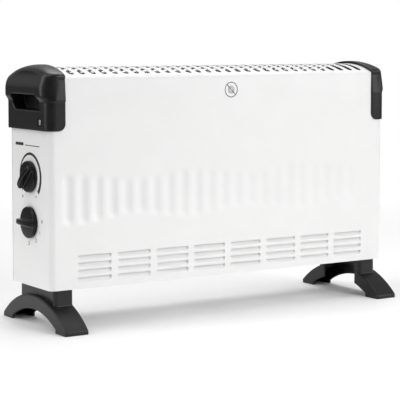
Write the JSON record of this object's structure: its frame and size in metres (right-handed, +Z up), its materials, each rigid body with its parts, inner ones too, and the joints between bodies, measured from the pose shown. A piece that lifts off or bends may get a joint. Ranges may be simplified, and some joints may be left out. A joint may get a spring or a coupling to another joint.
{
  "type": "fan convector heater",
  "caption": "Free-standing fan convector heater: white sheet casing with arched slotted top, black end handles and arched feet, two side dials, inner elements and fan.",
  "frame": {"origin": "on the floor under the middle of the casing", "axes": "+X along the heater towards the right end, +Y towards the rear, +Z up"},
  "size_m": [0.5411, 0.172, 0.3265],
  "materials": {
    "white_steel": "satin powder coat",
    "black_plastic": "satin moulded",
    "knob_plastic": "satin moulded",
    "dark_plastic": "moulded",
    "plated_steel": "zinc plated",
    "galvanised_steel": "galvanised",
    "lamination_steel": "stacked laminations",
    "mica": "pressed mica",
    "resistance_wire": "oxidised",
    "ceramic": "glazed ceramic",
    "brass": "satin",
    "phenolic": "moulded",
    "enamelled_copper": "enamelled winding",
    "black_rubber": "matt",
    "brown_insulation": "flexible",
    "blue_insulation": "flexible",
    "red_insulation": "flexible",
    "grey_insulation": "flexible",
    "green_insulation": "flexible"
  },
  "bodies": {
    "casing": {"front_casing": "white_steel", "rear_panel": "white_steel", "top_grille": "white_steel", "bottom_plate": "white_steel", "left_handle": "black_plastic", "right_handle": "black_plastic", "handle_screws": "plated_steel", "left_foot": "black_plastic", "right_foot": "black_plastic", "foot_screws": "plated_steel", "rear_panel_screws": "plated_steel", "partition_plate": "galvanised_steel", "end_plate": "galvanised_steel", "front_reflector": "galvanised_steel", "rear_reflector": "galvanised_steel", "fan_deck": "galvanised_steel", "element_rails": "galvanised_steel", "mica_boards": "mica", "lower_heating_coil": "resistance_wire", "upper_heating_coil": "resistance_wire", "ceramic_bushes": "ceramic", "element_pins": "brass", "thermal_cutout": "phenolic", "thermal_fuse": "brass", "motor_bracket": "galvanised_steel", "motor_stator": "lamination_steel", "motor_winding": "enamelled_copper", "motor_bearings": "brass", "motor_screws": "plated_steel", "control_bracket": "galvanised_steel", "thermostat_body": "ceramic", "selector_switch": "phenolic", "shaft_nuts": "plated_steel", "terminal_block": "ceramic", "cable_gland": "black_plastic", "wire_grommet": "black_rubber", "earth_screw": "brass", "live_wire": "brown_insulation", "neutral_wires": "blue_insulation", "switch_wires": "red_insulation", "fan_wires": "grey_insulation", "earth_wire": "green_insulation"},
    "thermostat_dial": {"thermostat_knob": "knob_plastic", "thermostat_shaft": "plated_steel"},
    "selector_dial": {"selector_knob": "knob_plastic", "selector_shaft": "plated_steel"},
    "fan_rotor": {"fan_impeller": "dark_plastic", "motor_rotor": "lamination_steel", "motor_shaft": "plated_steel"}
  },
  "joints": [
    {"name": "thermostat_turn", "type": "hinge", "parent": "casing", "child": "thermostat_dial", "pos_m": [-0.26, 0.001, 0.1875], "axis": [1, 0, 0], "range_deg": [0, 244]},
    {"name": "selector_turn", "type": "hinge", "parent": "casing", "child": "selector_dial", "pos_m": [-0.26, 0.001, 0.1305], "axis": [1, 0, 0], "range_deg": [0, 90]},
    {"name": "fan_spin", "type": "hinge", "parent": "casing", "child": "fan_rotor", "pos_m": [0.0125, 0, 0.08], "axis": [0, 0, 1], "continuous": true}
  ]
}
